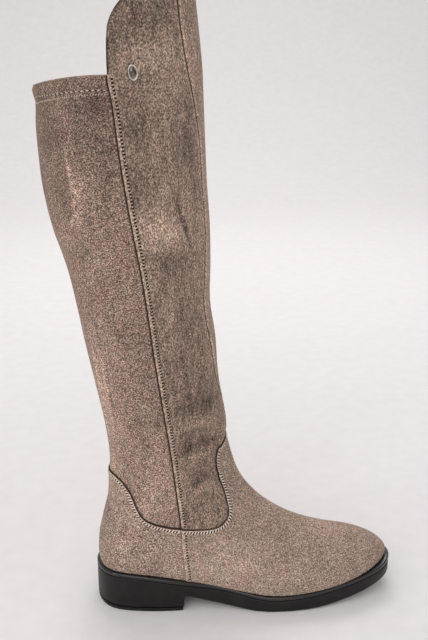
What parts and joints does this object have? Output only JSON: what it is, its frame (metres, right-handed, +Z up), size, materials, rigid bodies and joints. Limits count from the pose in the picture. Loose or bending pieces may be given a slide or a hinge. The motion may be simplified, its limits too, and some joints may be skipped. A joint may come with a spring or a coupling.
{
  "type": "over-the-knee boot",
  "caption": "Tall faux-suede over-the-knee boot for the right foot, with a stretch back panel, a raised front and a low moulded sole and heel; stands empty, open at the collar.",
  "frame": {"origin": "middle of the boot's box at floor level", "axes": "+Z up along the shaft, +X towards the toe, -Y towards the outer side of the foot"},
  "size_m": [0.3012, 0.1278, 0.5236],
  "materials": {
    "suede": "napped taupe faux suede",
    "black_rubber": "satin moulded rubber",
    "black_welt": "glossy moulded edge",
    "insole_lining": "matt textile lining",
    "badge_metal": "worn bright metal"
  },
  "bodies": {
    "root": {"outsole": "black_rubber", "heel_top_piece": "black_rubber", "welt": "black_welt", "insole": "insole_lining", "upper": "suede", "badge": "badge_metal"}
  },
  "joints": []
}
